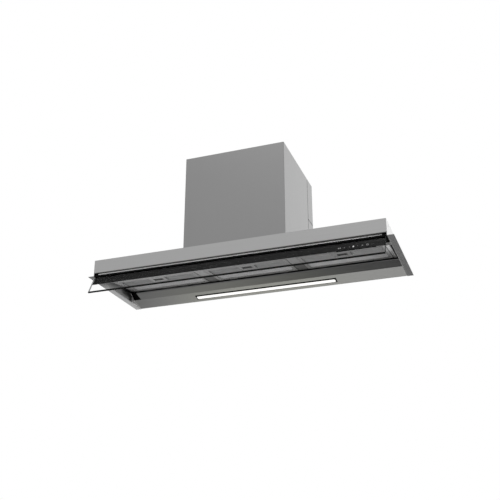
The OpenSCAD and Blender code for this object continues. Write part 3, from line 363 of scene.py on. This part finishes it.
# A divider keeps the steel's tone in front, and its rear half is dark grey
DARK_FRONT, DARK_FADE = 0.014, 0.0005
divider = brushed("divider_steel", grey(0.34), 0.36, ALONG_Y).dress("left_divider", "right_divider")
dark_rear = divider.step(divider.along(1), DARK_FRONT, DARK_FRONT + DARK_FADE)
divider.put("Base Color", divider.mix(dark_rear, divider.tone, grey(0.14)))


# Top, back and inner sheets, in zinc-coated steel
# The sheets that a cabinet hides are hot-dip galvanised and riveted to the stainless ones. The zinc
# froze in pale and dark crystals, each with its own grey and its own dulling.
ZINC = (0.46, 0.47, 0.48)
zinc = Finish("zinc_coat", ZINC, Metallic=0.9)
crystals = zinc.node("ShaderNodeTexVoronoi", {"feature": "F1"},
                     {"Vector": zinc.place((90, 90, 90)), "Scale": 1.0}, "Color")
crystal = zinc.node("ShaderNodeSeparateColor", {}, {0: crystals})
cloud = zinc.noise((7, 7, 7))
zinc.put("Base Color", zinc.mix(crystal * 0.6 + cloud * 0.4, shade(ZINC, 0.82), shade(ZINC, 1.14)))
zinc.put("Roughness", 0.38 + crystal * 0.16)
zinc.dress("top_plate", "back_panel", "housing_top_plate", "scroll_wrap", "left_scroll_cheek",
           "right_scroll_cheek", "motor_bracket", "front_flap", "rear_flap")


# Motor housing
# Three covers of plain satin steel, bent round the blower and screwed to the canopy's top.
# The stepped sheet inside the covers' joints and the covers' edges beside them are painted dark, painted
# shade of the gaps.
JOINT_WIDE, EDGE_WIDE = 0.0014, 0.0011
SERVICE_TOP = 0.1535
housing = brushed("housing_steel", grey(0.237), 0.42, UPRIGHT, 0.05).dress(
    "housing_front_wrap", "housing_rear_cover", "housing_service_cover")


def joint_shade_share(value, place):
    """1 in a joint that starts at a place and on the covers' edges beside it, and 0 elsewhere."""
    return housing.edge(value, place - EDGE_WIDE - HAIR) - housing.edge(
        value, place + JOINT_WIDE + EDGE_WIDE)


joint_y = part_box("housing_front_wrap")[1][1]
back, height = housing.along(1), housing.along(2)
# painted shade in the joints and on the edges beside them
joint_shade = joint_shade_share(back, joint_y).either(joint_shade_share(height, SERVICE_TOP) * housing.edge(back, joint_y))
housing.put("Base Color", housing.mix(joint_shade, housing.tone, grey(0.08)))


# Visor
# A glass blade with a black printed band hangs from a thin aluminium rail between two end caps.
# It turns on two pins in the canopy's brackets, and the touch module sits behind the band.

# The hinge's axis, the tilt and the glass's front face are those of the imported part
HINGE_Y, HINGE_Z = -0.1475, -0.0441
VISOR_TILT = math.radians(27)
GLASS_FACE = 0.002


def moulded(name, colour, roughness, **settings):
    """Moulded plastic with a fine spark-eroded texture."""
    plastic = Finish(name, colour, **settings)
    speck = plastic.noise((1400, 1400, 1400), detail=1)
    cloud = plastic.noise((20, 20, 20))
    plastic.put("Base Color", plastic.mix(cloud, shade(colour, 0.9), shade(colour, 1.1)))
    plastic.put("Roughness", roughness - 0.05 + cloud * 0.1)
    plastic.rough(speck, 0.15, 0.1 * MM)
    return plastic


def on_visor(across, down, out):
    """Points on the visor: x, the way down from the hinge axis, and out from the glass's middle."""
    y = HINGE_Y - out * math.cos(VISOR_TILT) - down * math.sin(VISOR_TILT)
    z = HINGE_Z + out * math.sin(VISOR_TILT) - down * math.cos(VISOR_TILT)
    return np.stack(np.broadcast_arrays(across, y, z), -1)


def loft(name, rings, finish, body, poles=True):
    """A closed skin over rings of points. The first and last ring shrink to a point each, or else
    the last ring joins the first."""
    count, around = rings.shape[:2]
    if poles:
        points = np.concatenate([rings[0].mean(0)[None], rings[1:-1].reshape(-1, 3), rings[-1].mean(0)[None]])
        number = 1 + np.arange((count - 2) * around).reshape(count - 2, around)
        near, far = number[:-1], number[1:]
    else:
        points = rings.reshape(-1, 3)
        number = np.arange(count * around).reshape(count, around)
        near, far = number, np.roll(number, -1, 0)
    faces = np.stack([near, np.roll(near, -1, 1), np.roll(far, -1, 1), far], -1).reshape(-1, 4).tolist()
    if poles:
        first, last = number[0], number[-1]
        end = np.full(around, len(points) - 1)
        faces += np.stack([0 * first, np.roll(first, -1), first], -1).tolist()
        faces += np.stack([end, last, np.roll(last, -1)], -1).tolist()
    mesh = bpy.data.meshes.new(name)
    mesh.from_pydata(points.tolist(), [], faces)
    mesh.shade_smooth()
    made = bpy.data.objects.new(name, mesh)
    bpy.context.collection.objects.link(made)
    made.data.materials.append(finish.material)
    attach(made, body)
    return made


black_plastic = moulded("black_plastic", grey(0.0025), 0.6, Specular_IOR_Level=0.02)
black_plastic.dress("left_visor_cap", "right_visor_cap", "touch_module", "light_bezel",
                    "left_hinge_bracket", "right_hinge_bracket", "front_pan")
moulded("edge_rubber", grey(0.005), 0.6, Specular_IOR_Level=0.1).dress("visor_edge_trim")

# The rail's colour is painted light and shade: brighter above and below its middle than round it, and
# darker towards its right end
RAIL_LOW, RAIL_HIGH, RAIL_FADE = HINGE_Z - 0.0017, HINGE_Z + 0.0005, 0.0006
rail = brushed("rail_aluminium", grey(0.17), 0.32, ALONG_X).dress("visor_rail")
height = rail.along(2)
upper = rail.graded([(-0.40, 0.55), (0.0, 0.46), (0.27, 0.40), (0.42, 0.22)])
middle = rail.graded([(-0.40, 0.50), (-0.25, 0.40), (0.0, 0.20), (0.12, 0.09), (0.33, 0.06), (0.40, 0.06)])
lower = rail.graded([(-0.40, 0.95), (0.0, 0.95), (0.33, 0.85), (0.42, 0.55)])
not_upper = rail.mix(rail.step(height, RAIL_LOW, RAIL_LOW + RAIL_FADE), lower, middle)
rail.put("Base Color", rail.mix(rail.step(height, RAIL_HIGH, RAIL_HIGH + RAIL_FADE), not_upper, upper))

# The carrier is painted black where a gap parts the band from the rail, painted shade of the gap
CARRIER = grey(0.062)
GAP_LOW, GAP_FADE = HINGE_Z - 0.0105, 0.0013
carrier = moulded("carrier_plastic", CARRIER, 0.55, Specular_IOR_Level=0.02).dress("visor_carrier")
gap_shade = carrier.step(carrier.along(2), GAP_LOW, GAP_LOW + GAP_FADE)
carrier.put("Base Color", carrier.mix(gap_shade, CARRIER, grey(0.002)))

# Clear glass: almost nothing of its faces shows, and its ground ends are dull, the left one paler
GLASS, LEFT_GLASS = (0.02, 0.024, 0.023), (0.45, 0.46, 0.46)
GROUND_WIDE, GROUND_FADE = 0.0016, 0.0004
glass = Finish("clear_glass", GLASS, Specular_IOR_Level=0.35).dress("visor_glass")
haze = glass.noise((14, 14, 14), detail=2)
across = glass.along(0)
ground_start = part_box("visor_glass")[1][0] - GROUND_WIDE
ground = glass.step(abs(across), ground_start, ground_start + GROUND_FADE)
glass.put("Base Color", glass.mix(glass.step(across, 0, MM), LEFT_GLASS, GLASS))
glass.put("Roughness", 0.02 + haze * 0.04 + ground * 0.9)
glass.put("Alpha", haze * 0.008 + ground * 0.87)

# The black print is painted greyer at its upper edge, painted light against the shade of the fascia and
# rail above it, and greyer towards the right, painted light too
PRINT_LOW, PRINT_HIGH = HINGE_Z - 0.0225, HINGE_Z - 0.0100
band = Finish("black_print", Specular_IOR_Level=0.02)
smear = band.noise((9, 30, 30))
lower_print = band.graded([(-0.40, 0.015), (-0.25, 0.017), (0.0, 0.020), (0.33, 0.021), (0.42, 0.026)])
upper_print = band.graded([(-0.40, 0.030), (-0.25, 0.034), (0.0, 0.041), (0.33, 0.042), (0.42, 0.072)])
print_painted_light = band.mix(band.step(band.along(2), PRINT_LOW, PRINT_HIGH), lower_print, upper_print)
band.put("Roughness", 0.40 + smear * 0.15)
band.put("Base Color", band.mix(1.0, print_painted_light, band.mix(smear, grey(0.9), grey(1.12)), "MULTIPLY"))

# It is a film of enamel, with a hair's breadth of glue between it and the glass
TURN = np.linspace(0, 2 * math.pi, 24, endpoint=False)
FILM_HALF, FILM_NOSE = 0.4277, 0.0002
FILM_DOWN, FILM_TALL = 0.0257, 0.0275
FILM_OUT, FILM_THICK = -0.00232, 0.00046


def enamel_film(name):
    """A thin plate with small round edges. Its section is a circle's cosine and sine, each to the
    power of an eighth, times half the height and half the thickness. It is carried along x, and is
    a little smaller at its two end faces."""
    to_end = np.array([FILM_HALF, FILM_HALF, FILM_HALF - FILM_NOSE])
    across = np.concatenate([to_end, -to_end[::-1]])[:, None]
    size = np.array([0.5, 0.97, 1.0, 1.0, 0.97, 0.5])[:, None] / 2
    tall, thick = (np.sign(wave) * abs(wave) ** 0.125 for wave in (np.cos(TURN), np.sin(TURN)))
    rings = on_visor(across, FILM_DOWN + FILM_TALL * size * tall, FILM_OUT + FILM_THICK * size * thick)
    made = loft(name, rings, band, "visor")
    made.data.shade_flat()
    return made


print_film = enamel_film("black_print_film")
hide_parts("visor_band")


# Touch marks
# Pale marks are printed on the glass over the touch module: dots and a ring, no letters.
# Each is a low cushion of ink, with a closed skin of its own.
MARK_DOWN = 0.0335
MARK_RAISE = 0.12 * MM
DOT_RINGS = 4


def printed_dot(name, across, half_wide, half_tall, finish):
    """An ellipse whose height falls with the square of the way to its rim, on a level underside."""
    out = np.concatenate([np.linspace(0, 1, DOT_RINGS), np.linspace(1, 0, DOT_RINGS)[1:]])[:, None]
    rise = np.where(np.arange(len(out))[:, None] < DOT_RINGS, 1 - out ** 2, 0.0)
    rings = on_visor(across + half_wide * out * np.cos(TURN), MARK_DOWN + half_tall * out * np.sin(TURN),
                     GLASS_FACE + MARK_RAISE * rise + 0 * TURN)
    loft(name, rings, finish, "visor")


def printed_ring(name, across, radius, line, finish):
    """A flat ring: an oval section carried round a circle."""
    tube = np.linspace(0, 2 * math.pi, 8, endpoint=False)
    away = radius + line * np.cos(tube)[None, :]
    rings = on_visor(across + away * np.cos(TURN)[:, None], MARK_DOWN + away * np.sin(TURN)[:, None],
                     GLASS_FACE + MARK_RAISE * (1 + np.sin(tube)[None, :]) / 2)
    loft(name, rings, finish, "visor", poles=False)


bright_ink = moulded("bright_ink", grey(0.85), 0.6)
pale_ink = moulded("pale_ink", grey(0.34), 0.6)
faint_ink = moulded("faint_ink", grey(0.12), 0.6)
printed_dot("mark_lamp_left", 0.3035, 0.0016, 0.0026, pale_ink)
printed_dot("mark_lamp_right", 0.3080, 0.0016, 0.0026, pale_ink)
printed_dot("mark_speed_low", 0.3190, 0.0018, 0.0022, faint_ink)
printed_dot("mark_speed_mid", 0.3330, 0.0016, 0.0018, faint_ink)
printed_dot("mark_speed_high", 0.3430, 0.0022, 0.0034, bright_ink)
printed_dot("mark_timer", 0.3540, 0.0012, 0.0012, faint_ink)
printed_dot("mark_boost", 0.3670, 0.0019, 0.0019, pale_ink)
printed_ring("mark_power", 0.3805, 0.0026, 0.0007, pale_ink)
printed_dot("mark_lock", 0.3920, 0.0010, 0.0010, faint_ink)


# Filters
# Each filter is a folded aluminium frame round layers of expanded aluminium, with a black latch.
# It pivots on its rear lower edge, and the latch's tongue holds its front over the filters' rail.

# Where the painted shade and light change: at the rear edge of the darker front, towards the far right,
# and on the paler rim there, painted light
SHADE_FRONT_Y, SHADE_FRONT_FADE = 0.014, 0.004
FAR_RIGHT, FAR_SHADE = (0.29, 0.41), 0.74
RIM_X, RIM_Y = (0.3985, 0.4020), (-0.02, 0.05)


def with_painted_shade(metal, front, rear):
    """Multiplies a filter's metal by a darker grey in front, painted shade, and by another in the rear
    half, which has painted shade at the far right."""
    far = metal.mix(metal.step(metal.along(0), *FAR_RIGHT), grey(rear), grey(rear * FAR_SHADE))
    tone = metal.mix(metal.step(metal.along(1), SHADE_FRONT_Y - SHADE_FRONT_FADE, SHADE_FRONT_Y + SHADE_FRONT_FADE), grey(front), far)
    metal.tone = metal.mix(1.0, metal.tone, tone, "MULTIPLY")
    metal.put("Base Color", metal.tone)
    return metal


frames = with_painted_shade(brushed("filter_aluminium", grey(0.50), 0.36, ALONG_X), 0.58, 0.80).dress(
    "left_filter_frame", "centre_filter_frame", "right_filter_frame")
# painted light: the rim at the far right, in front, is paler
lit_rim = frames.step(frames.along(0), *RIM_X) * (1 - frames.step(frames.along(1), *RIM_Y))
frames.put("Base Color", frames.mix(lit_rim, frames.tone, grey(0.62)))
moulded("latch_plastic", grey(0.13), 0.45).dress(
    "left_filter_latch", "centre_filter_latch", "right_filter_latch")

# Rear lower edge, tilt and depth of the filters, and the half width and depth of the latch's pad, as
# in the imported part
FILTER_Y, FILTER_Z = 0.0695, -0.0212
FILTER_TILT = math.radians(6.759)
FILTER_DEEP = 0.1283
PAD_HALF, PAD_DEEP = 0.0255, 0.0475
# Size of an expanded sheet and its margin from the rear edge, long and short way of a diamond,
# section, overlap at the corners and twist of a strand, and the sheets over each other
SHEET_WIDE, SHEET_DEEP, SHEET_MARGIN = 0.240, 0.118, 0.0052
LONG_WAY, SHORT_WAY = 0.0100, 0.0050
STRAND_WIDE, STRAND_THICK, STRAND_OVERLAP = 0.0013, 0.0005, 1.08
STRAND_TWIST = math.radians(28)
LAYERS, FIRST_LAYER, LAYER_STEP = 3, 0.0021, 0.0017
BAR_FACES = np.array([(0, 1, 3, 2), (4, 6, 7, 5), (0, 4, 5, 1), (2, 3, 7, 6), (0, 2, 6, 4), (1, 5, 7, 3)])


def expanded_sheet(shift):
    """Strands of one sheet of expanded metal, cells by 8 corners by 3. The sheet is a checkerboard of
    half diamonds, and in each cell one strand runs from corner to corner, its slope changing sign
    from cell to cell. A corner is the cell's middle, plus or minus half the strand's length along
    it, half its width across it and half its thickness off the sheet, turned by the twist."""
    columns, rows = int(2 * SHEET_WIDE / LONG_WAY), int(2 * SHEET_DEEP / SHORT_WAY)
    u, v = (index.ravel() for index in np.meshgrid(np.arange(columns), np.arange(rows), indexing="ij"))
    slope = 1 - 2 * ((u + v + shift) % 2)
    middle = np.stack([(u + 0.5) * LONG_WAY / 2 - SHEET_WIDE / 2, -SHEET_MARGIN - (v + 0.5) * SHORT_WAY / 2,
                       0.0 * u], -1)
    clear = (abs(middle[:, 0]) > PAD_HALF) | (middle[:, 1] > PAD_DEEP - FILTER_DEEP)
    middle, slope = middle[clear], slope[clear]
    half = np.stack([np.full(len(slope), LONG_WAY), slope * SHORT_WAY, 0 * slope], -1) / 4 * STRAND_OVERLAP
    along = half / np.linalg.norm(half, axis=1, keepdims=True)
    flat = np.stack([-along[:, 1], along[:, 0], 0 * slope], -1)
    across = flat * math.cos(STRAND_TWIST) + np.array([0, 0, 1.0]) * math.sin(STRAND_TWIST)
    lift = np.cross(along, across)
    signs = np.array([(i, j, k) for i in (-1, 1) for j in (-1, 1) for k in (-1, 1)])
    return (middle[:, None] + signs[:, 0, None] * half[:, None]
            + signs[:, 1, None] * across[:, None] * STRAND_WIDE / 2
            + signs[:, 2, None] * lift[:, None] * STRAND_THICK / 2)


# Three sheets lie over each other in a frame, each shifted by half a diamond
# The sheets carry the same painted shade as the frames: darker in front and at the far right
mesh_finish = with_painted_shade(brushed("mesh_aluminium", grey(0.82), 0.40, ALONG_X), 0.70, 1.0)
strands = np.concatenate([
    expanded_sheet(layer) + (0, 0, FIRST_LAYER + layer * LAYER_STEP) for layer in range(LAYERS)])
strand_faces = (8 * np.arange(len(strands))[:, None, None] + BAR_FACES).reshape(-1, 4)
u, v, w = strands.reshape(-1, 3).T
for side in ("left", "centre", "right"):
    low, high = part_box(side + "_filter_mesh")
    placed = np.stack([u + (low[0] + high[0]) / 2,
                       FILTER_Y + v * math.cos(FILTER_TILT) - w * math.sin(FILTER_TILT),
                       FILTER_Z + v * math.sin(FILTER_TILT) + w * math.cos(FILTER_TILT)], -1)
    mesh = bpy.data.meshes.new(side + "_grease_layers")
    mesh.from_pydata(placed.tolist(), [], strand_faces.tolist())
    layers = bpy.data.objects.new(side + "_grease_layers", mesh)
    bpy.context.collection.objects.link(layers)
    layers.data.materials.append(mesh_finish.material)
    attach(layers, side + "_filter")
    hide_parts(side + "_filter_mesh")


# Light
# A long opal cover lies in the panel's slot, over a white board with a row of LEDs in an aluminium
# channel, which is fixed to the panel from above.
opal = Finish("opal_cover", (0.6, 0.6, 0.58), Roughness=0.5, Emission_Strength=0.78)
opal.put("Emission Color", (1.0, 0.985, 0.955, 1))
opal.dress("led_diffuser")
moulded("board_white", (0.8, 0.8, 0.78), 0.5).dress("led_board")
brushed("channel_aluminium", grey(0.6), 0.3, ALONG_X).dress("led_channel")


# Electrics and blower
# The motor, capacitor, control box and LED driver are closed parts behind the sheets. The blower's
# impeller is moulded, and its motor hangs in rubber bushes. Pins, screws and rivets are steel.
moulded("pale_plastic", (0.55, 0.55, 0.53), 0.5).dress(
    "control_box", "control_box_lid", "terminal_block", "capacitor", "led_driver")
moulded("blower_plastic", grey(0.02), 0.5).dress("impeller", "outlet_collar", "mains_gland")
moulded("motor_paint", (0.10, 0.10, 0.11), 0.5).dress("motor_body")
moulded("bush_rubber", grey(0.012), 0.6).dress("motor_bushes")
brushed("bright_steel", grey(0.6), 0.28, ALONG_X).dress(
    "impeller_shaft", "visor_pins", "flap_pin", "housing_screws", "panel_rivets")
